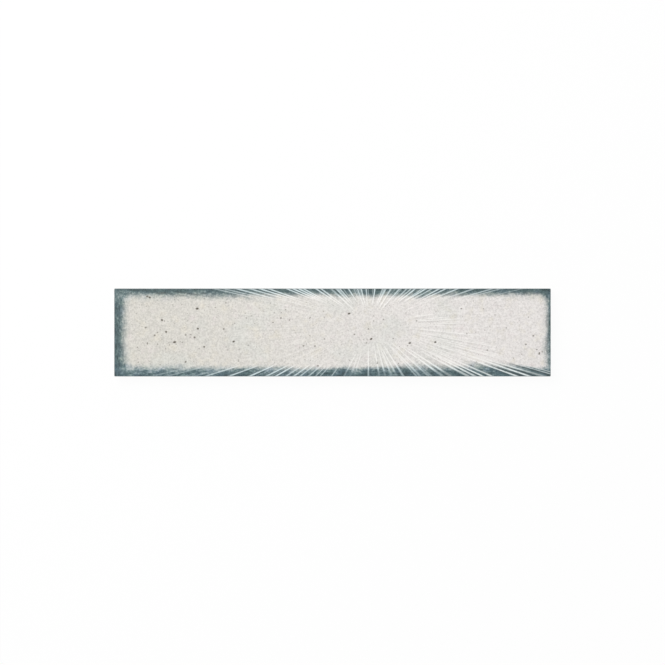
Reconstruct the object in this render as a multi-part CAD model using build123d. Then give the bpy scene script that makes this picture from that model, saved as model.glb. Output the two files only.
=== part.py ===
"""Narrow pressed wall tile: one fired ceramic body with a rounded glazed arris and a waffle back.

The tile lies on its back. The origin is the middle of the back plane, +X runs along the tile,
+Y across it and +Z out of the glazed face. All sizes are in millimetres and degrees.
"""

import os
from math import radians, tan

from build123d import *

# Fired size over the outermost planes
LENGTH = 298.0
WIDTH = 60.0
THICKNESS = 8.5

# Edge section, from the glazed face down to the back
PLAN_CORNER_RADIUS = 0.6
FACE_ARRIS_RADIUS = 0.4
EDGE_LAND_HEIGHT = 3.4
FLANK_DRAFT = 7.0
BACK_BEVEL = 0.4

# Waffle back: cells pressed into the back plane, with a flat rim and ribs left between them
RIM_WIDTH = 4.0
RIB_WIDTH = 2.2
NEAREST_CELL_PITCH = 17.6
CELL_DEPTH = 0.8
CELL_CORNER_RADIUS = 2.0
CELL_WALL_DRAFT = 35.0

# The flank leans inwards below the land, so the back plane is smaller than the face
flank_height = THICKNESS - FACE_ARRIS_RADIUS - EDGE_LAND_HEIGHT
flank_inset = flank_height * tan(radians(FLANK_DRAFT))
back_margin = flank_inset + BACK_BEVEL + RIM_WIDTH


def waffle_row(outer_size):
    """How many cells fit along one side of the tile, and the length of one cell's mouth."""
    field = outer_size - 2 * back_margin
    count = max(1, round((field + RIB_WIDTH) / NEAREST_CELL_PITCH))
    mouth = (field + RIB_WIDTH) / count - RIB_WIDTH
    return count, mouth


def plan_outline(height, inset):
    """The tile's outline at one height, set in from the face's outline all round."""
    with BuildSketch(Plane.XY.offset(height)) as outline:
        RectangleRounded(LENGTH - 2 * inset, WIDTH - 2 * inset, PLAN_CORNER_RADIUS)
    return outline.sketch


def pressed_blank():
    """The body before its back is keyed: straight land, leaning flank, rounded face arris."""
    widest = plan_outline(flank_height, 0)
    with BuildPart() as blank:
        extrude(widest, amount=THICKNESS - flank_height)
        loft([plan_outline(0, flank_inset), widest], ruled=True)
        face_edges = blank.faces().sort_by(Axis.Z)[-1].edges()
        fillet(face_edges, FACE_ARRIS_RADIUS)
        back_edges = blank.faces().sort_by(Axis.Z)[0].edges()
        chamfer(back_edges, BACK_BEVEL)
    return blank.part


def waffle_cells():
    """The recesses of the waffle back, as one tool to cut away."""
    columns, cell_length = waffle_row(LENGTH)
    rows, cell_width = waffle_row(WIDTH)
    with BuildPart() as cells:
        with BuildSketch(Plane.XY):
            with GridLocations(cell_length + RIB_WIDTH, cell_width + RIB_WIDTH, columns, rows):
                RectangleRounded(cell_length, cell_width, CELL_CORNER_RADIUS)
        extrude(amount=CELL_DEPTH, taper=CELL_WALL_DRAFT)
    return cells.part


wall_tile = pressed_blank() - waffle_cells()

os.makedirs("parts", exist_ok=True)
export_step(wall_tile, "parts/wall_tile.step")

cell_columns, _ = waffle_row(LENGTH)
cell_rows, _ = waffle_row(WIDTH)
print(f"wall_tile {wall_tile.volume / 1000:.1f} cm3, waffle of {cell_columns} by {cell_rows} cells")
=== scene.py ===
"""Looks of a narrow glazed wall tile: speckled pale field, worn blue-grey border, pressed sunburst.

Sizes are in millimetres on the tile and become metres when a mesh is made. The origin is the middle
of the tile's back, +X runs along it, +Y across it and +Z out of the glazed face. Bearings are in
degrees from +X towards +Y.
"""

import math
import random
from collections import namedtuple

import bmesh
import bpy
import numpy as np
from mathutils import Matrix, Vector
from mathutils.geometry import delaunay_2d_cdt


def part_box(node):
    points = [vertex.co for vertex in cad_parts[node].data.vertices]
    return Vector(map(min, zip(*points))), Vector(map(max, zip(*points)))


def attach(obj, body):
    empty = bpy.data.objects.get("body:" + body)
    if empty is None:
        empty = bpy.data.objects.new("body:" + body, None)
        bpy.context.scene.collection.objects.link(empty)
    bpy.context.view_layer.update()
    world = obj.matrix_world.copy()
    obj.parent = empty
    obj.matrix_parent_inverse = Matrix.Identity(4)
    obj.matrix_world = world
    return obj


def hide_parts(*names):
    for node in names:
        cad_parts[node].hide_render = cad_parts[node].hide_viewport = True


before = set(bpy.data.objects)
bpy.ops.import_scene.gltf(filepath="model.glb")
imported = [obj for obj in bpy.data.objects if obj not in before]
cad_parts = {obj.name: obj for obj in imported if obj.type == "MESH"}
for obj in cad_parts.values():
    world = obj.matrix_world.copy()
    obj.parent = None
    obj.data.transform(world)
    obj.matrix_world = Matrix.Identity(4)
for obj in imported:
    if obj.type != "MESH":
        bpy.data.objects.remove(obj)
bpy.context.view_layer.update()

MM = 0.001
SEED = 20

# Body, with the same values as the solid
tile_low, tile_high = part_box("wall_tile")
LENGTH = (tile_high.x - tile_low.x) / MM
WIDTH = (tile_high.y - tile_low.y) / MM
THICKNESS = (tile_high.z - tile_low.z) / MM
PLAN_CORNER_RADIUS = 0.6
FACE_ARRIS_RADIUS = 0.4
EDGE_LAND_HEIGHT = 3.4
FLANK_DRAFT = 7.0
BACK_BEVEL = 0.4
RIM_WIDTH = 4.0
RIB_WIDTH = 2.2
NEAREST_CELL_PITCH = 17.6
CELL_DEPTH = 0.8
CELL_CORNER_RADIUS = 2.0
CELL_WALL_DRAFT = 35.0

land_top = THICKNESS - FACE_ARRIS_RADIUS
land_bottom = land_top - EDGE_LAND_HEIGHT
flank_inset = land_bottom * math.tan(math.radians(FLANK_DRAFT))
bevel_inset = flank_inset + BACK_BEVEL
back_margin = bevel_inset + RIM_WIDTH

# Fineness of the mesh
EDGE_STEP = 0.5
CORNER_STEPS = 6
ARRIS_RINGS = 6
ARRIS_CLEARANCE = 0.15
CELL_STEP = 2.4
CELL_CORNER_STEPS = 4
FILLER_STEP = 1.25
FILLER_CLEARANCE = 0.3 * FILLER_STEP
LINE_STATION_STEP = 0.5
CLOSEST_POINTS = 0.1
SAME_POINT = 1e-5
WELD_DISTANCE = 0.002
FACE_TOLERANCE = 0.01
SHARP_ANGLE = 42.0

# Pressed relief, how far in from the edge it starts, and the faint wave of the face
RAY_HEIGHT = 0.24
GROOVE_DEPTH = 0.12
SPOT_PIT = 0.05
RELIEF_START = 0.05
FIELD_WAVE = 0.02
WAVE_START = 0.7
WAVE_ALONG = 9.0
WAVE_ACROSS = 7.0
WAVE_SLANT = 31.0
field_level = THICKNESS - RAY_HEIGHT - FIELD_WAVE

# Glaze film that ends in a wavy line part of the way down the edge
GLAZE_FILM = 0.12
FILM_ROUNDING = 0.35 * GLAZE_FILM
GLAZE_LINE_HEIGHT = 5.5
GLAZE_LINE_WANDER = 0.55
GLAZE_LINE_SWING = 1.8
GLAZE_LINE_WAVES = (5, 11, 23, 37, 61, 97, 140)
GLAZE_ABOVE_FLANK = 0.4
GLAZE_BELOW_FACE = 0.6

# The sunburst's middle, right of the tile's middle and a little above it
BURST = np.array([25.9, 5.8])
BURST_SCATTER = 0.6
FIRST_RAY_DISTANCE = 10.0
OVERRUN = 4.0
BEARING_SHAKE = 0.22
REACH_SHAKE = (0.95, 1.05)
SIZE_SHAKE = (0.9, 1.1)

# Section of a ray, its taper, the painted shade beside it and how the border drowns it
LINE_HALF_WIDTH = 0.66
FAINTEST_WIDTH = 0.74
WIDTH_BY_STRENGTH = 0.34
LINE_CREST = 0.35
LINE_FADE_IN = 0.38
LINE_TAPER = 0.5
FOOT_SHADE_MIDDLE = 1.8
FOOT_SHADE_HALF_WIDTH = 1.2
DROWNED_SPREAD = 1.6
DROWNED_FROM = 5.6
DROWNED_TO = 2.6

# Lines that run out over a long edge: how far in they start, strength, share drowned there, places met
TOP = 1
BOTTOM = -1
Fan = namedtuple("Fan", "edge reach strength drowned meets")
FANS = (
    Fan(TOP, 7.5, 0.42, 0.0, (-81.5, -75.0)),
    Fan(TOP, 8.5, 0.76, 0.0, (-66.0, -57.0)),
    Fan(TOP, 8.5, 0.92, 0.0, (-50.0, -44.0)),
    Fan(TOP, 9.2, 1.0, 0.0, (-31.5, -27.3, -23.4, -20.1)),
    Fan(TOP, 15.0, 0.86, 0.0, (-11.5, -8.0)),
    Fan(TOP, 18.0, 0.84, 0.45, (-1.0,)),
    Fan(TOP, 11.5, 0.8, 0.0, (2.3, 4.9)),
    Fan(TOP, 9.0, 0.62, 0.0, (3.6, 35.4)),
    Fan(TOP, 6.0, 0.34, 0.0, (7.3, 24.3, 27.6)),
    Fan(TOP, 9.5, 0.38, 0.0, (15.7, 18.3, 47.4)),
    Fan(TOP, 10.5, 1.0, 0.0, (10.8,)),
    Fan(TOP, 10.5, 0.45, 0.0, (14.5,)),
    Fan(TOP, 13.5, 0.86, 0.0, (17.0, 19.5)),
    Fan(TOP, 12.5, 0.72, 0.0, (23.0, 34.3)),
    Fan(TOP, 13.0, 0.9, 0.0, (29.0, 36.5)),
    Fan(TOP, 17.0, 0.74, 0.05, (40.0, 46.0)),
    Fan(TOP, 10.0, 0.64, 0.0, (51.0, 54.0, 61.7, 68.2)),
    Fan(TOP, 10.0, 1.0, 0.0, (56.7, 64.0)),
    Fan(TOP, 9.0, 0.88, 0.0, (73.3, 77.8, 86.0)),
    Fan(TOP, 8.0, 0.66, 0.0, (97.0, 109.5)),
    Fan(TOP, 8.0, 0.4, 0.0, (115.5,)),
    Fan(TOP, 8.0, 0.27, 0.0, (43.0, 130.0)),
    Fan(BOTTOM, 8.0, 0.24, 0.0, (-124.0, -95.0)),
    Fan(BOTTOM, 8.0, 0.34, 0.0, (-113.5,)),
    Fan(BOTTOM, 8.4, 0.66, 0.0, (-87.0,)),
    Fan(BOTTOM, 8.4, 0.78, 0.0, (-71.0,)),
    Fan(BOTTOM, 8.5, 0.94, 0.0, (-56.8, -39.0)),
    Fan(BOTTOM, 8.5, 0.84, 0.0, (-45.5, -26.6)),
    Fan(BOTTOM, 8.5, 0.66, 0.0, (-32.0,)),
    Fan(BOTTOM, 7.0, 0.14, 0.0, (-52.5, -42.4)),
    Fan(BOTTOM, 9.5, 0.58, 0.0, (-22.3, -16.5)),
    Fan(BOTTOM, 8.5, 0.46, 0.0, (-11.7, -8.5, -0.8)),
    Fan(BOTTOM, 18.0, 0.46, 0.55, (7.8,)),
    Fan(BOTTOM, 18.0, 0.42, 0.75, (12.3, 15.0)),
    Fan(BOTTOM, 24.0, 0.78, 0.45, (24.5,)),
    Fan(BOTTOM, 24.0, 0.84, 0.5, (48.5,)),
    Fan(BOTTOM, 24.0, 0.7, 0.72, (32.0, 36.1, 40.5, 44.2)),
    Fan(BOTTOM, 27.0, 0.56, 0.36, (57.5,)),
    Fan(BOTTOM, 28.0, 0.68, 0.46, (60.2, 65.8)),
    Fan(BOTTOM, 16.0, 0.36, 0.3, (68.0,)),
    Fan(BOTTOM, 24.0, 0.98, 0.72, (75.6, 81.0)),
    Fan(BOTTOM, 20.0, 0.84, 0.4, (93.0,)),
    Fan(BOTTOM, 20.0, 0.94, 0.3, (97.7,)),
    Fan(BOTTOM, 18.5, 0.97, 0.0, (103.0,)),
    Fan(BOTTOM, 18.5, 0.8, 0.05, (109.3,)),
    Fan(BOTTOM, 17.5, 0.92, 0.05, (126.5,)),
    Fan(BOTTOM, 17.5, 0.97, 0.0, (135.0,)),
    Fan(BOTTOM, 17.0, 0.78, 0.5, (144.6,)),
    Fan(BOTTOM, 9.0, 0.5, 0.0, (155.0, 160.5)),
)

# Grooves at the lower right, darkened with painted shade
GROOVES = (
    Fan(BOTTOM, 8.0, 0.75, 0.0, (129.8, 139.6)),
    Fan(BOTTOM, 11.0, 0.7, 0.0, (151.5,)),
)

# A streak is a faint ray that stays in the field, between two distances from the sunburst's middle
Streak = namedtuple("Streak", "first last rays start end strength")
STREAK_MARGIN = 6.0
STREAK_TAIL = 0.4
STREAK_STARTS = (0.85, 1.25)
STREAK_ENDS = (0.75, 1.2)
STREAK_STRENGTHS = (0.6, 1.0)
STREAK_WIDTHS = (0.6, 0.8)
STREAKS = (
    Streak(7.0, -3.0, 7, 28.0, 58.0, 0.8),
    Streak(-5.0, -26.0, 16, 28.0, 105.0, 0.75),
    Streak(-13.5, -19.0, 6, 58.0, 112.0, 0.7),
    Streak(40.0, 14.0, 6, 26.0, 60.0, 0.3),
    Streak(168.0, 146.0, 9, 28.0, 85.0, 0.45),
    Streak(196.0, 235.0, 10, 32.0, 75.0, 0.18),
    Streak(-22.0, -27.0, 5, 43.0, 64.0, 0.8),
)

# Iron spots: those that stand out, by size, and small ones scattered more thickly towards the left end
SpotGroup = namedtuple("SpotGroup", "radius depth tilt stretch places")
SPOT_GROUPS = (
    SpotGroup(0.82, 1.0, 28.0, 1.6, ((11.3, 12.9), (26.4, -4.4))),
    SpotGroup(0.76, 1.0, 28.0, 1.5, ((52.8, -7.2),)),
    SpotGroup(0.98, 1.0, 5.0, 1.5, ((-107.8, -6.6), (-92.4, 16.3))),
    SpotGroup(0.88, 0.95, -20.0, 1.3, ((-116.4, 8.5), (-124.8, 23.9), (-91.9, 2.6), (-113.6, 0.4))),
    SpotGroup(0.84, 1.0, 5.0, 1.3, ((-67.5, -6.2), (70.2, -6.6))),
    SpotGroup(0.78, 0.88, 15.0, 1.3, ((-94.2, -3.3), (-87.6, -9.8), (-100.3, -20.1), (-126.5, 24.6))),
    SpotGroup(0.7, 0.88, 90.0, 1.7, ((141.2, -14.3),)),
    SpotGroup(0.6, 0.7, 90.0, 1.8, ((-126.4, -7.4),)),
    SpotGroup(0.74, 0.72, 15.0, 1.3, ((-121.4, -1.9), (137.2, -2.3), (-74.3, 2.4), (-10.0, -22.8))),
    SpotGroup(0.56, 0.7, 20.0, 1.2, ((94.7, -22.5), (143.2, -13.2), (139.5, -11.7))),
    SpotGroup(0.72, 0.7, 10.0, 1.3, (
        (-35.2, 9.9), (-19.8, -9.1), (-127.5, 3.4), (-100.2, -1.7), (-12.0, -9.3),
    )),
    SpotGroup(0.68, 0.68, 10.0, 1.3, ((88.0, 16.3), (15.0, -1.3), (132.1, -8.1))),
    SpotGroup(0.66, 0.62, 0.0, 1.2, (
        (57.4, 8.0), (105.7, -12.0), (24.6, 2.4), (-40.6, 6.8), (-29.4, 8.5),
    )),
    SpotGroup(0.64, 0.56, 0.0, 1.2, (
        (-5.5, -4.4), (41.5, -4.1), (-133.2, -10.2), (91.7, -0.8), (23.1, -7.1),
    )),
    SpotGroup(0.64, 0.56, 0.0, 1.2, ((-119.5, -8.0), (-96.8, -1.4), (-119.5, 0.0), (30.6, -21.1))),
    SpotGroup(0.62, 0.52, 0.0, 1.2, (
        (-63.7, -11.4), (-57.5, -8.7), (-58.7, 9.9), (-72.8, 20.2), (-80.0, 17.0),
    )),
    SpotGroup(0.6, 0.48, 0.0, 1.2, (
        (104.0, 1.6), (129.2, -14.8), (103.1, 16.3), (133.8, 10.5), (-102.5, -6.8),
    )),
    SpotGroup(0.58, 0.44, 0.0, 1.2, ((96.2, 21.5), (11.7, -19.1), (51.2, -9.1), (111.0, 12.0))),
)
SPOT_TILT_SHAKE = 12.0
SPOT_CORE = 0.5
SPOT_SIDES = 9
LONGEST_SPOT = 2.0
SMALL_SPOTS = 520
SMALL_SPOT_MARGINS = (9.0, 6.0)
SMALL_SPOT_SHARE = 0.52
SMALL_SPOT_DRIFT = 0.48
SMALL_SPOT_RADII = (0.3, 0.58)
SMALL_SPOT_FAINTEST = 0.12
SMALL_SPOT_DEPTHS = 0.5
SMALL_SPOT_STRETCH = 1.6

Spot = namedtuple("Spot", "middle bearing radius stretch depth")
Line = namedtuple("Line", "origin bearing start end tail strength drowned half_width")


def rounded_outline(length, width, radius, steps):
    """Points round a rounded rectangle about the origin, anticlockwise, with steps along its length,
    its width and each corner."""
    long_steps, short_steps, arc_steps = steps
    signs = ((1, 1), (-1, 1), (-1, -1), (1, -1))
    middles = [np.array([sx * (length / 2 - radius), sy * (width / 2 - radius)]) for sx, sy in signs]
    points = []
    for quarter, middle in enumerate(middles):
        angles = np.radians(90.0) * (quarter + np.linspace(0.0, 1.0, arc_steps + 1))
        arc = middle + radius * np.column_stack([np.cos(angles), np.sin(angles)])
        run_steps = short_steps if quarter % 2 else long_steps
        run = middles[(quarter + 1) % 4] - middle
        points += [arc, arc[-1] + np.arange(1, run_steps)[:, None] / run_steps * run]
    return np.vstack(points)


EDGE_STEPS = (round(LENGTH / EDGE_STEP), round(WIDTH / EDGE_STEP), CORNER_STEPS)


def tile_ring(inset, radius):
    """The tile's outline set in from its edge. All rings have the same points, one inside another."""
    return rounded_outline(LENGTH - 2.0 * inset, WIDTH - 2.0 * inset, radius, EDGE_STEPS)


def inset_of(points, length=LENGTH, width=WIDTH, radius=PLAN_CORNER_RADIUS):
    """How far each point lies inside a rounded rectangle about the origin."""
    over = np.abs(points) - np.array([length / 2 - radius, width / 2 - radius])
    outside = np.linalg.norm(np.maximum(over, 0.0), axis=1)
    inside = np.minimum(over.max(axis=1), 0.0)
    return radius - outside - inside


def smooth_step(values, low, high):
    """0 below low, 1 above high and a smooth rise between them."""
    share = np.clip((values - low) / (high - low), 0.0, 1.0)
    return share * share * (3.0 - 2.0 * share)


def bearing_vectors(bearing):
    """The direction of a bearing, and the direction square to it."""
    angle = math.radians(bearing)
    return np.array([math.cos(angle), math.sin(angle)]), np.array([-math.sin(angle), math.cos(angle)])


def edge_distance(origin, bearing):
    """How far a ray runs before it leaves the tile."""
    ahead, _ = bearing_vectors(bearing)
    limits = np.where(ahead > 0, 1.0, -1.0) * np.array([LENGTH / 2, WIDTH / 2])
    with np.errstate(divide="ignore"):
        return float(np.min((limits - origin) / ahead))


def spread(first, last, count, dice):
    """Bearings from first to last, unevenly spaced."""
    gap = (last - first) / max(1, count - 1)
    return [first + gap * (k + dice.uniform(-BEARING_SHAKE, BEARING_SHAKE)) for k in range(count)]


def scattered_origin(dice):
    """A ray's own origin, near the sunburst's middle."""
    return BURST + BURST_SCATTER * np.array([dice.gauss(0.0, 1.0), dice.gauss(0.0, 1.0)])


def line_over_edge(fan, meets, dice):
    """A fan's line from near the sunburst's middle out over the edge."""
    origin = scattered_origin(dice)
    run = np.array([meets, fan.edge * WIDTH / 2]) - origin
    end = math.hypot(*run)
    reach = fan.reach * dice.uniform(*REACH_SHAKE)
    start = max(FIRST_RAY_DISTANCE, end - reach * end / abs(run[1]))
    bearing = math.degrees(math.atan2(run[1], run[0]))
    half_width = LINE_HALF_WIDTH * (FAINTEST_WIDTH + WIDTH_BY_STRENGTH * fan.strength)
    half_width *= dice.uniform(*SIZE_SHAKE)
    return Line(origin, bearing, start, end + OVERRUN, OVERRUN, fan.strength, fan.drowned, half_width)


def fan_lines(fans, dice):
    """The lines of some fans."""
    return [line_over_edge(fan, meets, dice) for fan in fans for meets in fan.meets]


def streak_line(streak, bearing, dice):
    """One faint ray of a streak, which stays clear of the long edges."""
    origin = scattered_origin(dice)
    start = streak.start * dice.uniform(*STREAK_STARTS)
    inside = 1.0 - STREAK_MARGIN / (WIDTH / 2)
    end = min(inside * edge_distance(origin, bearing), streak.end * dice.uniform(*STREAK_ENDS))
    strength = streak.strength * dice.uniform(*STREAK_STRENGTHS)
    half_width = LINE_HALF_WIDTH * dice.uniform(*STREAK_WIDTHS)
    return Line(origin, bearing, start, end, STREAK_TAIL * (end - start), strength, 0.0, half_width)


def make_rays():
    """Every ray of the sunburst, each with its own origin, width and strength."""
    dice = random.Random(SEED)
    rays = fan_lines(FANS, dice)
    for streak in STREAKS:
        for bearing in spread(streak.first, streak.last, streak.rays, dice):
            rays.append(streak_line(streak, bearing, dice))
    return rays


def large_spots(dice):
    """The iron spots that stand out."""
    spots = []
    for group in SPOT_GROUPS:
        for place in group.places:
            bearing = group.tilt + dice.uniform(-SPOT_TILT_SHAKE, SPOT_TILT_SHAKE)
            stretch = group.stretch * dice.uniform(*SIZE_SHAKE)
            spots.append(Spot(np.array(place), bearing, group.radius, stretch, group.depth))
    return spots


def small_spots(dice):
    """Small iron spots at random places, more of them towards the left end."""
    end_margin, side_margin = SMALL_SPOT_MARGINS
    small, large = SMALL_SPOT_RADII
    spots = []
    while len(spots) < SMALL_SPOTS:
        across = dice.uniform(-1.0, 1.0)
        if dice.random() > SMALL_SPOT_SHARE - SMALL_SPOT_DRIFT * across:
            continue
        up = dice.uniform(-1.0, 1.0)
        place = np.array([across * (LENGTH / 2 - end_margin), up * (WIDTH / 2 - side_margin)])
        radius = small + (large - small) * dice.random() ** 2
        depth = SMALL_SPOT_FAINTEST + SMALL_SPOT_DEPTHS * dice.random() ** 2
        bearing = dice.uniform(0.0, 180.0)
        stretch = dice.uniform(1.0, SMALL_SPOT_STRETCH)
        spots.append(Spot(place, bearing, radius, stretch, depth))
    return spots


def make_spots():
    """Every iron spot, a little longer than wide."""
    dice = random.Random(SEED + 1)
    return large_spots(dice) + small_spots(dice)


RAYS = make_rays()
DARK_LINES = fan_lines(GROOVES, random.Random(SEED + 3))
SPOTS = make_spots()


def line_width(line, along):
    """A line's half width at some places along it. It widens outwards, most where the glaze drowns it."""
    share = np.clip((along - line.start) / (line.end - line.start), 0.0, 1.0)
    taper = LINE_TAPER + (1.0 - LINE_TAPER) * share + DROWNED_SPREAD * line.drowned * share ** 3
    return line.half_width * taper


def line_profile(points, lines):
    """Height of the strongest line at each point from 0 to 1, and how strong the painted shade along its foot
    is.
    """
    height = np.zeros(len(points))
    pool = np.zeros(len(points))
    for line in lines:
        ahead, aside = bearing_vectors(line.bearing)
        along = (points - line.origin) @ ahead
        across = np.abs((points - line.origin) @ aside) / line_width(line, along)
        fade_in = LINE_FADE_IN * (line.end - line.tail - line.start)
        fade = smooth_step(along, line.start, line.start + fade_in)
        fade *= 1.0 - smooth_step(along, line.end - line.tail, line.end)
        edge_inset = (line.end - line.tail - along) * abs(ahead[1])
        fade *= 1.0 - line.drowned * (1.0 - smooth_step(edge_inset, DROWNED_TO, DROWNED_FROM))
        crest = np.clip((1.0 - across) / (1.0 - LINE_CREST), 0.0, 1.0) * fade * line.strength
        beside = np.abs(across - FOOT_SHADE_MIDDLE) / FOOT_SHADE_HALF_WIDTH
        foot = np.clip(1.0 - beside, 0.0, 1.0) * fade * line.strength
        height = np.maximum(height, crest)
        pool = np.maximum(pool, foot)
    return height, pool * (1.0 - height)


def spot_profile(points):
    """Darkness of the iron spots at each point, from 0 to 1."""
    darkness = np.zeros(len(points))
    for spot in SPOTS:
        ahead, aside = bearing_vectors(spot.bearing)
        near = np.abs(points[:, 0] - spot.middle[0]) < LONGEST_SPOT * spot.radius
        offset = points[near] - spot.middle
        distance = np.hypot(offset @ ahead / spot.stretch, offset @ aside) / spot.radius
        shade = spot.depth * np.clip((1.0 - distance) / (1.0 - SPOT_CORE), 0.0, 1.0)
        darkness[near] = np.maximum(darkness[near], shade)
    return darkness


def face_height(points):
    """Height of the glazed face above the back: rounded arris, pressed rays, pits and a faint wave."""
    inset = inset_of(points)
    roll = np.clip(1.0 - inset / FACE_ARRIS_RADIUS, 0.0, 1.0)
    base = land_top + (field_level - land_top) * np.sqrt(1.0 - roll * roll)
    height, _ = line_profile(points, RAYS)
    groove, _ = line_profile(points, DARK_LINES)
    wave = np.sin(points[:, 0] / WAVE_ALONG + WAVE_START)
    wave *= np.sin(points[:, 1] / WAVE_ACROSS + points[:, 0] / WAVE_SLANT)
    relief = RAY_HEIGHT * height - GROOVE_DEPTH * groove - SPOT_PIT * spot_profile(points)
    relief += FIELD_WAVE * wave
    return base + relief * smooth_step(inset, RELIEF_START, FACE_ARRIS_RADIUS)


def spot_points(spot):
    """A spot's middle and two rings of points round it."""
    ahead, aside = bearing_vectors(spot.bearing)
    angles = np.linspace(0.0, 2.0 * math.pi, SPOT_SIDES, endpoint=False)[:, None]
    circle = spot.radius * (spot.stretch * np.cos(angles) * ahead + np.sin(angles) * aside)
    return [spot.middle[None], spot.middle + SPOT_CORE * circle, spot.middle + circle]


def filler_points():
    """An even filling of the face that keeps clear of the rays."""
    columns = np.arange(-LENGTH / 2, LENGTH / 2, FILLER_STEP)
    row_step = FILLER_STEP * math.sin(math.radians(60.0))
    rows = []
    for row, y in enumerate(np.arange(-WIDTH / 2, WIDTH / 2, row_step)):
        shift = 0.5 * FILLER_STEP * (row % 2)
        rows.append(np.column_stack([columns + shift, np.full(len(columns), y)]))
    points = np.vstack(rows)
    clear = np.ones(len(points), bool)
    for line in RAYS + DARK_LINES:
        ahead, aside = bearing_vectors(line.bearing)
        along = (points - line.origin) @ ahead
        across = np.abs((points - line.origin) @ aside)
        clear &= (along < line.start) | (along > line.end) | (across > line.half_width + FILLER_CLEARANCE)
    return points[clear]


def face_points():
    """Points of the face inside its arris: along the rays, round the spots and a filling between."""
    groups = [filler_points()]
    for line in RAYS + DARK_LINES:
        ahead, aside = bearing_vectors(line.bearing)
        count = max(2, round((line.end - line.start) / LINE_STATION_STEP))
        stations = np.linspace(line.start, line.end, count)[:, None]
        for across in (-1.0, -LINE_CREST, LINE_CREST, 1.0):
            groups.append(line.origin + stations * ahead + across * line_width(line, stations) * aside)
    for spot in SPOTS:
        groups += spot_points(spot)
    points = np.vstack(groups)
    points = points[inset_of(points) > FACE_ARRIS_RADIUS + ARRIS_CLEARANCE]
    _, kept = np.unique(np.round(points / CLOSEST_POINTS).astype(int), axis=0, return_index=True)
    return points[np.sort(kept)]


def triangles_between(points, loops):
    """Triangles over the points inside the first loop, with all the loops kept as edges."""
    inside_only = 1
    edges = [(loop[k - 1], loop[k]) for loop in loops for k in range(len(loop))]
    outer = [list(loops[0])]
    found = delaunay_2d_cdt([Vector(p) for p in points], edges, outer, inside_only, SAME_POINT, False)
    return np.array([tuple(v) for v in found[0]]), [tuple(face) for face in found[2]]


class Shell:
    """The tile's faces as they are made: corners, material and place on the bake map."""

    def __init__(self):
        self.corners = []
        self.faces = []
        self.materials = []
        self.places = []

    def add(self, corners, faces, material, places):
        """Adds faces with their corners in millimetres and one place on the map for each corner."""
        start = len(self.corners)
        self.corners += [tuple(c) for c in corners]
        for face in faces:
            self.faces.append([start + k for k in face])
            self.materials.append(material)
            self.places += [tuple(places[k]) for k in face]

    def mesh(self, name):
        """One welded mesh of all the faces, in metres."""
        mesh = bpy.data.meshes.new(name)
        mesh.from_pydata([tuple(MM * x for x in c) for c in self.corners], [], self.faces)
        mesh.polygons.foreach_set("material_index", self.materials)
        layer = mesh.uv_layers.new(name="OFBake")
        layer.uv.foreach_set("vector", np.array(self.places, np.float32).ravel())
        welded = bmesh.new()
        welded.from_mesh(mesh)
        bmesh.ops.remove_doubles(welded, verts=welded.verts, dist=WELD_DISTANCE * MM)
        bmesh.ops.recalc_face_normals(welded, faces=welded.faces)
        welded.to_mesh(mesh)
        welded.free()
        return mesh


# Material slots of the mesh
GLAZE = 0
BODY = 1

# Bands of the bake map, from the bottom up
MAP_EDGE = 0.004
MAP_SIDES = ((0.004, 0.052), (0.060, 0.108))
MAP_BACK = (0.118, 0.372)
MAP_FACE = (0.382, 0.996)


def plan_places(points, band):
    """Places on the bake map of points seen in plan."""
    low, high = band
    across = MAP_EDGE + (1.0 - 2.0 * MAP_EDGE) * (points[:, 0] / LENGTH + 0.5)
    up = low + (high - low) * (points[:, 1] / WIDTH + 0.5)
    return np.column_stack([across, up])


def add_face(shell):
    """The glazed face with its arris."""
    turns = np.radians(np.linspace(0.0, 90.0, ARRIS_RINGS))
    insets = FACE_ARRIS_RADIUS * (1.0 - np.cos(turns))
    rings = [tile_ring(inset, PLAN_CORNER_RADIUS - inset) for inset in insets]
    count = len(rings[0])
    loops = [range(k * count, (k + 1) * count) for k in range(len(rings))]
    plan, faces = triangles_between(np.vstack(rings + [face_points()]), loops)
    corners = np.column_stack([plan, face_height(plan)])
    shell.add(corners, faces, GLAZE, plan_places(plan, MAP_FACE))


def glaze_line(count):
    """Height at which the glaze film ends, round the tile."""
    dice = random.Random(SEED + 2)
    turn = np.linspace(0.0, 2.0 * math.pi, count, endpoint=False)
    line = np.zeros(count)
    for waves in GLAZE_LINE_WAVES:
        swing = math.sqrt(GLAZE_LINE_WAVES[0] / waves)
        line += swing * np.sin(waves * turn + dice.uniform(0.0, 2.0 * math.pi))
    return GLAZE_LINE_HEIGHT + GLAZE_LINE_WANDER * line / GLAZE_LINE_SWING


def edge_rows(count):
    """Rows of points down the edge: each row's inset, its heights round the tile and what lies below it."""
    film_end = np.clip(glaze_line(count), land_bottom + GLAZE_ABOVE_FLANK, land_top - GLAZE_BELOW_FACE)
    level = np.ones(count)
    return (
        (0.0, land_top * level, GLAZE),
        (0.0, film_end + 0.5 * (land_top - film_end), GLAZE),
        (0.0, film_end + GLAZE_FILM, GLAZE),
        (FILM_ROUNDING, film_end, GLAZE),
        (GLAZE_FILM, film_end - FILM_ROUNDING, BODY),
        (GLAZE_FILM, land_bottom * level, BODY),
        (0.5 * (GLAZE_FILM + flank_inset), 0.5 * (land_bottom + BACK_BEVEL) * level, BODY),
        (flank_inset, BACK_BEVEL * level, BODY),
        (bevel_inset, 0.0 * level, BODY),
    )


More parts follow.
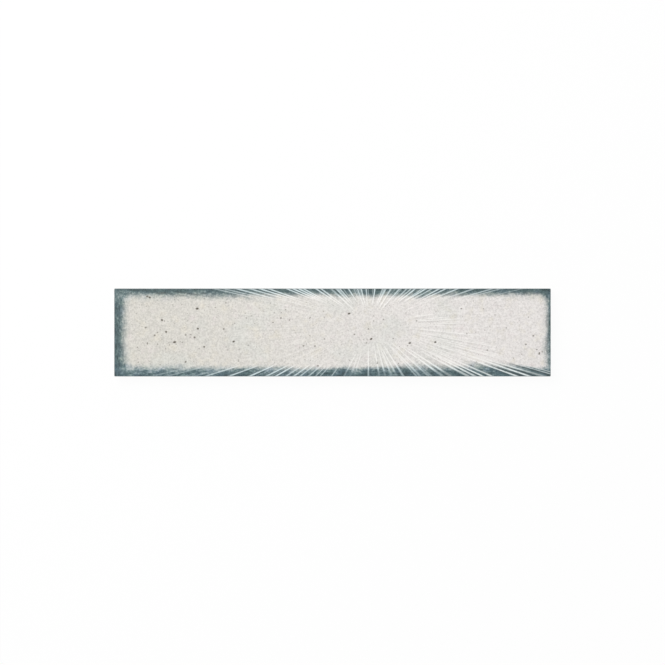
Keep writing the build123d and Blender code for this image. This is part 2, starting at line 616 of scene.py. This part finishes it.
def add_sides(shell):
    """The edge all round: glazed land, end of the glaze film, bare land, flank and back bevel."""
    count = len(tile_ring(0.0, PLAN_CORNER_RADIUS))
    rows = edge_rows(count)
    half = count // 2
    for start, band in zip((0, half), MAP_SIDES):
        columns = np.arange(start, start + half + 1) % count
        across = np.linspace(MAP_EDGE, 1.0 - MAP_EDGE, half + 1)
        for (upper_inset, upper_height, material), (lower_inset, lower_height, _) in zip(rows, rows[1:]):
            corners = []
            places = []
            for inset, height in ((upper_inset, upper_height), (lower_inset, lower_height)):
                ring = tile_ring(inset, PLAN_CORNER_RADIUS)
                corners.append(np.column_stack([ring, height])[columns])
                up = band[0] + (band[1] - band[0]) * height[columns] / THICKNESS
                places.append(np.column_stack([across, up]))
            below = half + 1
            faces = [(k, below + k, below + k + 1, k + 1) for k in range(half)]
            shell.add(np.vstack(corners), faces, material, np.vstack(places))


def waffle_row(outer_size):
    """How many cells fit along one side of the tile, and the length of one cell's mouth."""
    field = outer_size - 2.0 * back_margin
    count = max(1, round((field + RIB_WIDTH) / NEAREST_CELL_PITCH))
    return count, (field + RIB_WIDTH) / count - RIB_WIDTH


def add_ribs(shell, mouth, middles, cell_length, cell_width):
    """The flat rim and ribs of the back, open where the cells are."""
    size = len(mouth)
    rim = tile_ring(bevel_inset, PLAN_CORNER_RADIUS)
    loops = [range(len(rim))]
    loops += [range(len(rim) + k * size, len(rim) + (k + 1) * size) for k in range(len(middles))]
    plan, faces = triangles_between(np.vstack([rim] + [mouth + middle for middle in middles]), loops)
    centres = np.array([plan[list(face)].mean(axis=0) for face in faces])
    in_cell = np.zeros(len(faces), bool)
    for middle in middles:
        in_cell |= inset_of(centres - middle, cell_length, cell_width, CELL_CORNER_RADIUS) > 0.0
    flat = [face for face, cut in zip(faces, in_cell) if not cut]
    shell.add(np.column_stack([plan, np.zeros(len(plan))]), flat, BODY, plan_places(plan, MAP_BACK))


def add_cells(shell, mouth, floor, middles):
    """The pressed cells of the back, each with sloping walls and a flat floor."""
    size = len(mouth)
    height = np.repeat([0.0, CELL_DEPTH], size)
    walls = [(k, (k + 1) % size, size + (k + 1) % size, size + k) for k in range(size)]
    bottom = tuple(range(size, 2 * size))
    for middle in middles:
        plan = np.vstack([mouth, floor]) + middle
        shell.add(np.column_stack([plan, height]), walls + [bottom], BODY, plan_places(plan, MAP_BACK))


def add_back(shell):
    """The waffle back."""
    columns, cell_length = waffle_row(LENGTH)
    rows, cell_width = waffle_row(WIDTH)
    across = (np.arange(columns) - (columns - 1) / 2) * (cell_length + RIB_WIDTH)
    up = (np.arange(rows) - (rows - 1) / 2) * (cell_width + RIB_WIDTH)
    middles = [np.array([x, y]) for x in across for y in up]
    steps = (round(cell_length / CELL_STEP), round(cell_width / CELL_STEP), CELL_CORNER_STEPS)
    mouth = rounded_outline(cell_length, cell_width, CELL_CORNER_RADIUS, steps)
    lean = CELL_DEPTH * math.tan(math.radians(CELL_WALL_DRAFT))
    floor_length = cell_length - 2.0 * lean
    floor_width = cell_width - 2.0 * lean
    floor = rounded_outline(floor_length, floor_width, CELL_CORNER_RADIUS - lean, steps)
    add_ribs(shell, mouth, middles, cell_length, cell_width)
    add_cells(shell, mouth, floor, middles)


def point_attribute(mesh, name, values):
    """Stores one number for each vertex."""
    layer = mesh.attributes.new(name, "FLOAT", "POINT")
    layer.data.foreach_set("value", values.astype(np.float32))


def place_object(name, data):
    """An object of the scene."""
    made = bpy.data.objects.new(name, data)
    bpy.context.scene.collection.objects.link(made)
    return made


def make_tile():
    """The whole tile as one closed piece, with the rays and spots marked for the glaze."""
    shell = Shell()
    add_face(shell)
    add_sides(shell)
    add_back(shell)
    mesh = shell.mesh("glazed_tile")
    places = np.empty(3 * len(mesh.vertices), np.float32)
    mesh.vertices.foreach_get("co", places)
    places = places.reshape(-1, 3) / MM
    plan = places[:, :2]
    on_face = places[:, 2] > land_top - FACE_TOLERANCE
    ray, pool = line_profile(plan, RAYS)
    groove, _ = line_profile(plan, DARK_LINES)
    edge = smooth_step(inset_of(plan), RELIEF_START, FACE_ARRIS_RADIUS)
    point_attribute(mesh, "ray", ray * edge * on_face)
    # Painted shade beside the rays
    point_attribute(mesh, "pool", pool * on_face)
    point_attribute(mesh, "groove", groove * on_face)
    point_attribute(mesh, "spot", spot_profile(plan) * on_face)
    mesh.shade_smooth()
    mesh.set_sharp_from_angle(angle=math.radians(SHARP_ANGLE))
    return place_object("glazed_tile", mesh)


def srgb(red, green, blue):
    """A colour given as it looks on screen, from 0 to 255, as a shader takes it."""
    def linear(level):
        share = level / 255.0
        return share / 12.92 if share <= 0.04045 else ((share + 0.055) / 1.055) ** 2.4
    return (linear(red), linear(green), linear(blue), 1.0)


# Fine lines that fan out from the sunburst, and the limits of where lines from it meet a long edge
FAN_LINES = 70.0
FAN_STRETCH = 0.03
FAN_CONTRAST = 0.045
FAN_FADE_IN = (14.0, 35.0)
FAN_FADE_OUT = (125.0, 70.0)
NEAREST_TO_BURST = 8.0
MEETING_SPAN = 380.0
LARGEST_FOLLOWED = 2.0


class Shader:
    """Short calls that build one material's nodes."""

    def __init__(self, tree):
        self.tree = tree
        self.tree.nodes.clear()

    def node(self, kind, inputs=None, **settings):
        """A node with its settings, and its inputs as numbers, colours or other nodes' outputs."""
        made = self.tree.nodes.new(kind)
        for name, setting in settings.items():
            setattr(made, name, setting)
        for key, given in (inputs or {}).items():
            if isinstance(given, bpy.types.NodeSocket):
                self.tree.links.new(given, made.inputs[key])
            else:
                made.inputs[key].default_value = given
        return made

    def math(self, operation, first, second=0.0):
        """One step of arithmetic."""
        return self.node("ShaderNodeMath", {0: first, 1: second}, operation=operation).outputs[0]

    def remap(self, value, low, high, to_low=0.0, to_high=1.0, shape="SMOOTHSTEP"):
        """A step from to_low at low to to_high at high, smooth unless another shape is given."""
        inputs = {"Value": value, "From Min": low, "From Max": high, "To Min": to_low, "To Max": to_high}
        return self.node("ShaderNodeMapRange", inputs, interpolation_type=shape).outputs["Result"]

    def swing(self, noise, size):
        """Noise as a number that swings this far either way about 0."""
        return self.remap(noise, 0.3, 0.7, -size, size)

    def vector(self, *parts):
        """A vector of up to three parts."""
        return self.node("ShaderNodeCombineXYZ", dict(enumerate(parts))).outputs[0]

    def scale(self, vector, factor):
        """A vector or colour times a number."""
        return self.node("ShaderNodeVectorMath", {0: vector, 1: factor}, operation="MULTIPLY").outputs[0]

    def noise(self, places, size, detail=2.0, roughness=0.5):
        """Noise with patches about this size in millimetres."""
        inputs = {"Vector": places, "Scale": 1.0 / size, "Detail": detail, "Roughness": roughness}
        return self.node("ShaderNodeTexNoise", inputs).outputs["Fac"]

    def mix(self, share, first, second, blend="MIX"):
        """Two colours mixed, or the second blended onto the first."""
        inputs = {0: share, 6: first, 7: second}
        return self.node("ShaderNodeMix", inputs, data_type="RGBA", blend_type=blend).outputs[2]

    def mix_shaders(self, share, first, second):
        """Two shaders mixed."""
        inputs = {0: share, 1: first.outputs[0], 2: second.outputs[0]}
        return self.node("ShaderNodeMixShader", inputs).outputs[0]

    def ramp(self, value, stops):
        """A colour ramp through the stops, each a place from 0 to 1 and a colour."""
        made = self.node("ShaderNodeValToRGB", {0: value})
        elements = made.color_ramp.elements
        elements[0].position, elements[0].color = stops[0]
        elements[1].position, elements[1].color = stops[-1]
        for place, colour in stops[1:-1]:
            elements.new(place).color = colour
        return made.outputs[0]

    def follow(self, along, length, values):
        """A number that follows the given values at places along a side of the tile."""
        share = self.math("ADD", self.math("DIVIDE", along, length), 0.5)
        greys = [(place / length + 0.5, value / LARGEST_FOLLOWED) for place, value in values]
        stops = [(place, (grey, grey, grey, 1.0)) for place, grey in greys]
        return self.math("MULTIPLY", self.ramp(share, stops), LARGEST_FOLLOWED)

    def meeting_place(self, x, inset, burst_inset):
        """Where the line from the sunburst's middle through a point meets a long edge of the tile."""
        inwards = self.math("SUBTRACT", burst_inset, inset)
        inwards = self.math("MAXIMUM", inwards, NEAREST_TO_BURST)
        across = self.math("SUBTRACT", x, BURST[0])
        run = self.math("MULTIPLY", across, self.math("DIVIDE", burst_inset, inwards))
        return self.math("ADD", run, BURST[0])

    def fan_noise(self, x, y):
        """Fine lines that fan out from the sunburst, as a factor about 1 that fades far from it."""
        across = self.math("SUBTRACT", x, BURST[0])
        up = self.math("SUBTRACT", y, BURST[1])
        turn = self.math("MULTIPLY", self.math("ARCTAN2", up, across), FAN_LINES)
        squares = self.math("ADD", self.math("POWER", across, 2.0), self.math("POWER", up, 2.0))
        reach = self.math("SQRT", squares)
        fan = self.vector(turn, self.math("MULTIPLY", reach, FAN_STRETCH))
        lines = self.swing(self.noise(fan, 1.0, 2.0), FAN_CONTRAST)
        lines = self.math("MULTIPLY", lines, self.remap(reach, *FAN_FADE_IN))
        lines = self.math("MULTIPLY", lines, self.remap(reach, *FAN_FADE_OUT))
        return self.math("ADD", lines, 1.0)

    def attribute(self, name):
        """A number that the mesh stores for each vertex."""
        return self.node("ShaderNodeAttribute", attribute_name=name).outputs["Fac"]

    def places(self):
        """Places on the tile in millimetres, and their three parts."""
        raw = self.node("ShaderNodeTexCoord").outputs["Object"]
        scaled = self.scale(raw, (1.0 / MM,) * 3)
        parts = self.node("ShaderNodeSeparateXYZ", {0: scaled}).outputs
        return scaled, parts[0], parts[1], parts[2]

    def surface(self, colour, roughness, bumps):
        """Ends the material in a shader with these bumps, each a height and its depth in millimetres."""
        normal = None
        for height, depth in bumps:
            inputs = {"Height": height, "Distance": depth * MM, "Strength": 1.0}
            if normal is not None:
                inputs["Normal"] = normal
            normal = self.node("ShaderNodeBump", inputs).outputs[0]
        inputs = {"Base Color": colour, "Roughness": roughness, "Normal": normal}
        shader = self.node("ShaderNodeBsdfPrincipled", inputs)
        self.node("ShaderNodeOutputMaterial", {"Surface": shader.outputs[0]})


def new_material(name):
    """An empty material, and the shader that fills it."""
    material = bpy.data.materials.new(name)
    material.use_nodes = True
    return material, Shader(material.node_tree)


# Brush strokes of the border, and the power that rounds its inner corners
STROKE_WIDTH = 1.4
STROKE_LENGTH = 3.0
STROKE_CONTRAST = 0.23
STROKE_SHIFT = 20.0
CORNER_POWER = 1.5

# Border of a side: insets where it is solid and faded; depth, softness and paleness at places along it
Border = namedtuple("Border", "solid faded depths fades tones")
LEFT_BORDER = Border(solid=3.7, faded=11.6, depths=(
    (-30, 1.0), (-23, 1.17), (-14, 1.0), (-5, 0.9), (-1, 0.94), (3, 1.02), (8, 1.03), (14, 1.01), (22, 1.06),
    (26, 0.9), (30, 0.95),
), fades=(
    (-30, 1.0), (30, 1.0),
), tones=(
    (-30, 0.16), (-27, 0.14), (-24.5, 0.36), (-22, 0.19), (-19, 0.3), (-15, 0.26), (-12, 0.24), (-9, 0.02),
    (-5, 0.34), (-1, 0.17), (3, 0.23), (7, 0.32), (11, 0.31), (14, 0.19), (16.5, 0.08), (19, 0.32),
    (22, 0.36), (25, 0.45), (27.5, 0.44), (30, 0.26),
))
RIGHT_BORDER = Border(solid=0.0, faded=6.0, depths=(
    (-30, 1.2), (-25, 1.04), (-20, 1.12), (-13, 1.24), (-5, 1.14), (0, 1.06), (12, 1.0), (18, 1.06),
    (22, 1.3), (25, 1.42), (30, 1.4),
), fades=(
    (-30, 1.0), (30, 1.0),
), tones=(
    (-30, 0.42), (-27, 0.3), (-24, 0.85), (-21, 0.36), (-17.5, 0.74), (-15, 0.5), (-11, 0.48), (-7, 0.32),
    (-3, 0.44), (0, 0.46), (3, 0.34), (5.5, 0.1), (8, 0.38), (12, 0.48), (16, 0.44), (19, 0.66),
    (22, 0.4), (25, 0.36), (30, 0.5),
))
TOP_BORDER = Border(solid=2.2, faded=7.2, depths=(
    (-188, 1.32), (-156, 1.17), (-149, 1.2), (-118, 1.28), (-104, 1.25), (-89, 1.34),
    (-80, 1.04), (-70, 1.08), (-62, 1.05), (-53, 0.95), (-44, 0.94), (-38, 1.1), (-31, 0.92), (-22, 0.89),
    (-15, 0.92), (-4, 1.1), (8, 1.18), (14, 1.0), (26, 1.21), (32, 1.16), (38, 1.02), (58, 1.1), (70, 1.32),
    (82, 1.0), (94, 0.99), (104, 1.15), (114, 0.98), (125, 1.12), (138, 0.96), (150, 1.06),
    (167, 0.98), (180, 1.17),
), fades=(
    (-149, 1.25), (-90, 1.25), (-76, 1.0), (-46, 1.0), (-38, 1.3), (-30, 1.0), (-10, 0.95), (20, 0.8),
    (34, 0.75), (72, 0.75), (84, 1.0), (94, 1.0), (104, 0.7), (112, 0.9), (132, 1.15), (149, 1.2),
), tones=(
    (-149, 0.4), (-141, 0.1), (-133, 0.12), (-126, 0.43), (-118, 0.05), (-110, 0.33), (-85, 0.3), (-70, 0.36),
    (-38, 0.34), (-15, 0.36), (-5, 0.3), (8, 0.3), (14, 0.36), (20, 0.34), (26, 0.12), (32, 0.16),
    (38, 0.46), (49, 0.34), (59, 0.48), (68, 0.45), (82, 0.5), (92, 0.32), (104, 0.22), (114, 0.4),
    (125, 0.28), (135, 0.26), (141, 0.36), (146, 0.18), (149, 0.2),
))
BOTTOM_BORDER = Border(solid=3.2, faded=7.9, depths=(
    (-185, 1.24), (-149, 1.23), (-140, 1.29), (-125, 1.03), (-107, 1.2), (-98, 1.18), (-87, 1.06),
    (-78, 1.2), (-63, 1.23), (-54, 1.13), (-48, 1.22), (-40, 1.05), (-25, 1.02), (-19, 1.06), (-13, 0.88),
    (-7, 1.06), (5, 1.17), (12, 1.0), (23, 1.08), (34, 1.16), (44, 1.1), (51, 1.22), (63, 1.35), (74, 1.2),
    (88, 1.32), (98, 1.14), (108, 1.12), (114, 1.5), (121, 1.66), (128, 1.34), (155, 1.38), (163, 0.95),
), fades=(
    (-149, 1.0), (-100, 1.0), (-85, 0.85), (-60, 0.8), (-10, 0.75), (10, 0.65), (34, 0.65), (50, 0.8),
    (57, 1.1), (74, 1.1), (88, 0.85), (110, 0.9), (149, 1.0),
), tones=(
    (-149, 0.4), (-137, 0.44), (-130, 0.27), (-121, 0.4), (-107, 0.3), (-100, 0.44), (-84, 0.43), (-77, 0.2),
    (-64, 0.31), (-46, 0.48), (-35, 0.4), (-20, 0.45), (-13, 0.34), (-5, 0.19), (1, 0.34), (5, 0.08),
    (10, 0.36), (17, 0.48), (21, 0.1), (28, 0.2), (34, 0.24), (39, 0.32), (42.5, 0.44), (46, 0.26),
    (52, 0.1), (60, 0.36), (66, 0.36), (78, 0.29), (88, 0.33), (105, 0.34), (116, 0.36), (149, 0.36),
))


# Glaze colours: the border from its dark outer edge to its worn inner one, crests from field to border
BORDER_TONES = (
    (0.0, srgb(36, 56, 58)),
    (0.2, srgb(58, 81, 84)),
    (0.44, srgb(80, 101, 104)),
    (0.56, srgb(101, 120, 121)),
    (0.68, srgb(126, 142, 141)),
    (0.84, srgb(156, 165, 162)),
    (1.0, srgb(180, 185, 180)),
)
CREST_TONES = (
    (0.0, srgb(250, 248, 244)),
    (0.5, srgb(233, 239, 238)),
    (1.0, srgb(214, 229, 231)),
)
CREST_AT_LOWER_RIGHT = srgb(247, 250, 247)
# Painted shade beside the rays, in the border
FOOT_SHADE_COLOUR = srgb(60, 76, 79)
# Painted shade in the grooves
GROOVE_SHADE = srgb(52, 64, 66)
# Dark glaze down the edge, also used for the painted shade along the edge of the face
EDGE_GLAZE_AND_SHADE = srgb(50, 64, 68)
IRON = srgb(74, 66, 50)

# How strongly the painted shade beside the rays, the spots, the painted shade along the edge and the glaze
# down the arris show
FOOT_SHADE_SHARE = 0.8
SPOT_SHARE = 0.95
# The thin dark line along the edge of the face is painted shade
RIM_INSETS = (1.1, 0.3)
RIM_SHADE_SHARE = 0.17
ARRIS_SHARE = 0.9
ARRIS_DULLNESS = 0.35

# What the parts of the glaze read: places, insets from the four edges, noise and the marks on the mesh
GLAZE_FIELDS = "places x y z left right top bottom patch cloud grain ray pool groove spot"
GlazeInputs = namedtuple("GlazeInputs", GLAZE_FIELDS)


def glaze_inputs(sh):
    """The values that more than one part of the glaze reads."""
    places, x, y, z = sh.places()
    return GlazeInputs(
        places, x, y, z,
        left=sh.math("ADD", x, LENGTH / 2),
        right=sh.math("SUBTRACT", LENGTH / 2, x),
        top=sh.math("SUBTRACT", WIDTH / 2, y),
        bottom=sh.math("ADD", y, WIDTH / 2),
        patch=sh.noise(places, 7.0, 3.0, 0.6),
        cloud=sh.noise(places, 2.4, 3.0, 0.6),
        grain=sh.noise(places, 1.1, 2.0, 0.7),
        ray=sh.attribute("ray"),
        pool=sh.attribute("pool"),
        groove=sh.attribute("groove"),
        spot=sh.attribute("spot"),
    )


def field_colour(sh, given):
    """The pale field: warmer and cooler patches, sand, and smudges towards the left end."""
    drift = sh.remap(given.x, -LENGTH / 2, 0.37 * LENGTH)
    broad = sh.noise(given.places, 24.0, 2.0)
    colour = sh.mix(drift, srgb(213, 210, 202), srgb(232, 228, 225))
    colour = sh.mix(sh.remap(given.patch, 0.5, 0.75, 0.0, 0.6), colour, srgb(223, 217, 203))
    colour = sh.mix(sh.remap(given.patch, 0.45, 0.25, 0.0, 0.6), colour, srgb(224, 215, 213))
    colour = sh.mix(sh.remap(broad, 0.5, 0.7, 0.0, 0.4), colour, srgb(213, 216, 210))
    brushed = sh.fan_noise(given.x, given.y)
    speckle = sh.math("MULTIPLY", sh.remap(given.grain, 0.25, 0.7, 0.81, 1.1), brushed)
    # Painted shade beside the rays darkens the field along their feet
    speckle = sh.math("MULTIPLY", speckle, sh.remap(given.pool, 0.0, 1.0, 1.0, 0.94))
    to_left_end = sh.remap(given.x, -30.0, -120.0)
    smudge = sh.math("MULTIPLY", sh.remap(given.cloud, 0.55, 0.3, 0.0, 0.08), to_left_end)
    speckle = sh.math("MULTIPLY", speckle, sh.math("SUBTRACT", 1.0, smudge))
    return sh.scale(colour, speckle)


def border_cover(sh, given):
    """How far the border covers the field, and how pale it is: brushed along each edge, darkest there."""
    rough = sh.math("ADD", sh.swing(given.patch, 0.35), sh.swing(given.cloud, 0.15))
    rough = sh.math("ADD", rough, sh.swing(given.grain, 0.15))
    meets_top = sh.meeting_place(given.x, given.top, WIDTH / 2 - BURST[1])
    meets_bottom = sh.meeting_place(given.x, given.bottom, WIDTH / 2 + BURST[1])
    sides = (
        (given.left, given.y, given.y, WIDTH, LEFT_BORDER),
        (given.right, given.y, given.y, WIDTH, RIGHT_BORDER),
        (given.top, given.x, meets_top, MEETING_SPAN, TOP_BORDER),
        (given.bottom, given.x, meets_bottom, MEETING_SPAN, BOTTOM_BORDER),
    )
    blend = 0.0
    tone = 2.0
    for number, (distance, along, meets, length, border) in enumerate(sides):
        inset = sh.math("DIVIDE", distance, sh.follow(meets, length, border.depths))
        half_fade = 0.5 * (border.faded - border.solid)
        past_middle = sh.math("SUBTRACT", inset, border.solid + half_fade)
        past_middle = sh.math("DIVIDE", past_middle, sh.follow(meets, length, border.fades))
        band = sh.remap(sh.math("ADD", past_middle, rough), half_fade, -half_fade, shape="LINEAR")
        blend = sh.math("ADD", sh.math("POWER", band, CORNER_POWER), blend)
        drawn = sh.vector(sh.math("DIVIDE", along, STROKE_LENGTH), distance, STROKE_SHIFT * number)
        strokes = sh.swing(sh.noise(drawn, STROKE_WIDTH, 3.0, 0.6), STROKE_CONTRAST)
        side_tone = sh.math("ADD", sh.follow(meets, length, border.tones), strokes)
        paler = sh.remap(sh.math("DIVIDE", inset, border.faded), 0.04, 1.1, 0.0, 0.78)
        tone = sh.math("MINIMUM", sh.math("ADD", paler, side_tone), tone)
    cover = sh.remap(sh.math("POWER", blend, 1.0 / CORNER_POWER), 0.0, 1.0)
    blotch = sh.math("ADD", sh.swing(given.patch, 0.06), sh.swing(given.grain, 0.17))
    return cover, sh.math("ADD", tone, blotch)


def border_colour(sh, given, tone, lower):
    """The border's mottled blue-grey, bluer along the lower edge."""
    colour = sh.ramp(tone, BORDER_TONES)
    colour = sh.mix(lower, colour, (0.92, 1.0, 1.1, 1.0), "MULTIPLY")
    tint = sh.noise(given.places, 5.0, 2.0)
    colour = sh.mix(sh.remap(tint, 0.5, 0.7), colour, (0.98, 1.0, 1.08, 1.0), "MULTIPLY")
    return sh.mix(sh.remap(tint, 0.5, 0.3), colour, (0.97, 1.0, 0.95, 1.0), "MULTIPLY")


def crest_colour(sh, given, cover, lower):
    """The pale crests of the rays, whitest at the lower right."""
    lower_right = sh.math("MULTIPLY", lower, sh.remap(given.x, 55.0, 90.0))
    lower_left = sh.math("SUBTRACT", lower, lower_right)
    colour = sh.ramp(cover, CREST_TONES)
    colour = sh.mix(lower_left, colour, (0.93, 0.96, 0.98, 1.0), "MULTIPLY")
    return sh.mix(lower_right, colour, CREST_AT_LOWER_RIGHT)


def glaze_material():
    """Satin glaze: pale speckled field, mottled blue-grey border, pale crests and brown iron spots."""
    material, sh = new_material("satin_glaze")
    given = glaze_inputs(sh)
    cover, tone = border_cover(sh, given)
    lower = sh.remap(given.y, -WIDTH / 2 + 12.0, -WIDTH / 2 + 4.0, 0.0, 0.6)
    colour = sh.mix(cover, field_colour(sh, given), border_colour(sh, given, tone, lower))

    # Painted shade beside the rays, their crests, painted shade in the grooves, and spots
    foot_shaded = sh.math("MULTIPLY", sh.math("MULTIPLY", given.pool, cover), FOOT_SHADE_SHARE)
    colour = sh.mix(foot_shaded, colour, FOOT_SHADE_COLOUR)
    worn = sh.math("MULTIPLY", given.ray, sh.remap(given.cloud, 0.3, 0.6, 0.78, 1.08))
    colour = sh.mix(worn, colour, crest_colour(sh, given, cover, lower))
    # Painted shade in the grooves
    colour = sh.mix(given.groove, colour, GROOVE_SHADE)
    colour = sh.mix(sh.math("MULTIPLY", given.spot, SPOT_SHARE), colour, IRON)

    # A thin dark line along the edge of the face, which is painted shade, the dark glaze down the edge below
    # the arris, and the dull arris
    nearest_end = sh.math("MINIMUM", given.left, given.right)
    nearest_side = sh.math("MINIMUM", given.top, given.bottom)
    rim = sh.remap(sh.math("MINIMUM", nearest_end, nearest_side), *RIM_INSETS, 0.0, RIM_SHADE_SHARE)
    arris = sh.remap(given.z, field_level - 0.02, land_top - 0.1)
    edge_glaze_and_shade = sh.math("MAXIMUM", rim, sh.math("MULTIPLY", arris, ARRIS_SHARE))
    colour = sh.mix(edge_glaze_and_shade, colour, EDGE_GLAZE_AND_SHADE)
    dull = sh.math("MULTIPLY", arris, ARRIS_DULLNESS)
    roughness = sh.math("ADD", sh.remap(given.cloud, 0.2, 0.8, 0.36, 0.5), dull)
    sh.surface(colour, roughness, ((given.grain, 0.03), (given.cloud, 0.05)))
    return material


def body_material():
    """Bare fired clay of the back and the lower edge."""
    material, sh = new_material("fired_clay")
    places, _, _, z = sh.places()
    patch = sh.noise(places, 14.0, 3.0)
    grain = sh.noise(places, 0.6, 4.0, 0.7)
    colour = sh.mix(patch, srgb(214, 205, 190), srgb(226, 219, 206))
    colour = sh.scale(colour, sh.remap(grain, 0.3, 0.7, 0.9, 1.06))
    wash = sh.remap(z, 0.2, 0.0, 0.0, 0.5)
    colour = sh.mix(wash, colour, srgb(233, 230, 224))
    roughness = sh.remap(grain, 0.2, 0.8, 0.8, 0.95)
    sh.surface(colour, roughness, ((grain, 0.06), (patch, 0.05)))
    return material


# Stage: light, floor and camera
WHITE = (1.0, 1.0, 1.0, 1.0)
WORLD_LIGHT = 0.58
KEY_POWER = 10.5
KEY_SIZE = 0.9
KEY_PLACE = Vector((-0.55, 0.6, 1.05))
FLOOR_HALF = 30.0
FLOOR_GLOW = 0.94
LENS = 100.0
SENSOR = 36.0
FRAME_WIDTH = 454.0


def background_rays(sh):
    """1 for rays from the camera and for mirrored or transmitted ones, which see the white backdrop."""
    path = sh.node("ShaderNodeLightPath").outputs
    seen = sh.math("MAXIMUM", path["Is Camera Ray"], path["Is Glossy Ray"])
    return sh.math("MAXIMUM", seen, path["Is Transmission Ray"])


def make_world():
    """Even grey light all round, behind a white backdrop."""
    world = bpy.data.worlds.new("soft_room")
    world.use_nodes = True
    bpy.context.scene.world = world
    sh = Shader(world.node_tree)
    light = sh.node("ShaderNodeBackground", {"Color": WHITE, "Strength": WORLD_LIGHT})
    backdrop = sh.node("ShaderNodeBackground", {"Color": WHITE, "Strength": 1.0})
    surface = sh.mix_shaders(background_rays(sh), light, backdrop)
    sh.node("ShaderNodeOutputWorld", {"Surface": surface})


def make_floor():
    """A white floor that keeps the tile's shadow."""
    mesh = bpy.data.meshes.new("floor")
    corners = [(sx * FLOOR_HALF, sy * FLOOR_HALF, 0.0) for sx, sy in ((-1, -1), (1, -1), (1, 1), (-1, 1))]
    mesh.from_pydata(corners, [], [(0, 1, 2, 3)])
    material, sh = new_material("white_floor")
    matt = sh.node("ShaderNodeBsdfDiffuse", {"Color": srgb(250, 250, 250)})
    glow = sh.node("ShaderNodeEmission", {"Color": WHITE, "Strength": 1.0})
    share = sh.math("MULTIPLY", background_rays(sh), FLOOR_GLOW)
    sh.node("ShaderNodeOutputMaterial", {"Surface": sh.mix_shaders(share, matt, glow)})
    mesh.materials.append(material)
    floor = place_object("floor", mesh)


def make_key_light():
    """One soft lamp from the upper left, which models the rays."""
    lamp = bpy.data.lights.new("key", "AREA")
    lamp.energy = KEY_POWER
    lamp.size = KEY_SIZE
    key = place_object("key", lamp)
    key.location = KEY_PLACE
    key.rotation_euler = (-KEY_PLACE).to_track_quat("-Z", "Y").to_euler()


def make_camera():
    """A long lens straight above the tile's middle, framed as wide as the photograph."""
    camera = place_object("camera", bpy.data.cameras.new("camera"))
    camera.data.lens = LENS
    camera.data.sensor_width = SENSOR
    camera.location = (0.0, 0.0, (THICKNESS + FRAME_WIDTH * LENS / SENSOR) * MM)
    bpy.context.scene.camera = camera


tile = make_tile()
tile.data.materials.append(glaze_material())
tile.data.materials.append(body_material())
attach(tile, "root")
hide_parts("wall_tile")

make_world()
make_floor()
make_key_light()
make_camera()
bpy.context.scene.view_settings.view_transform = "Standard"
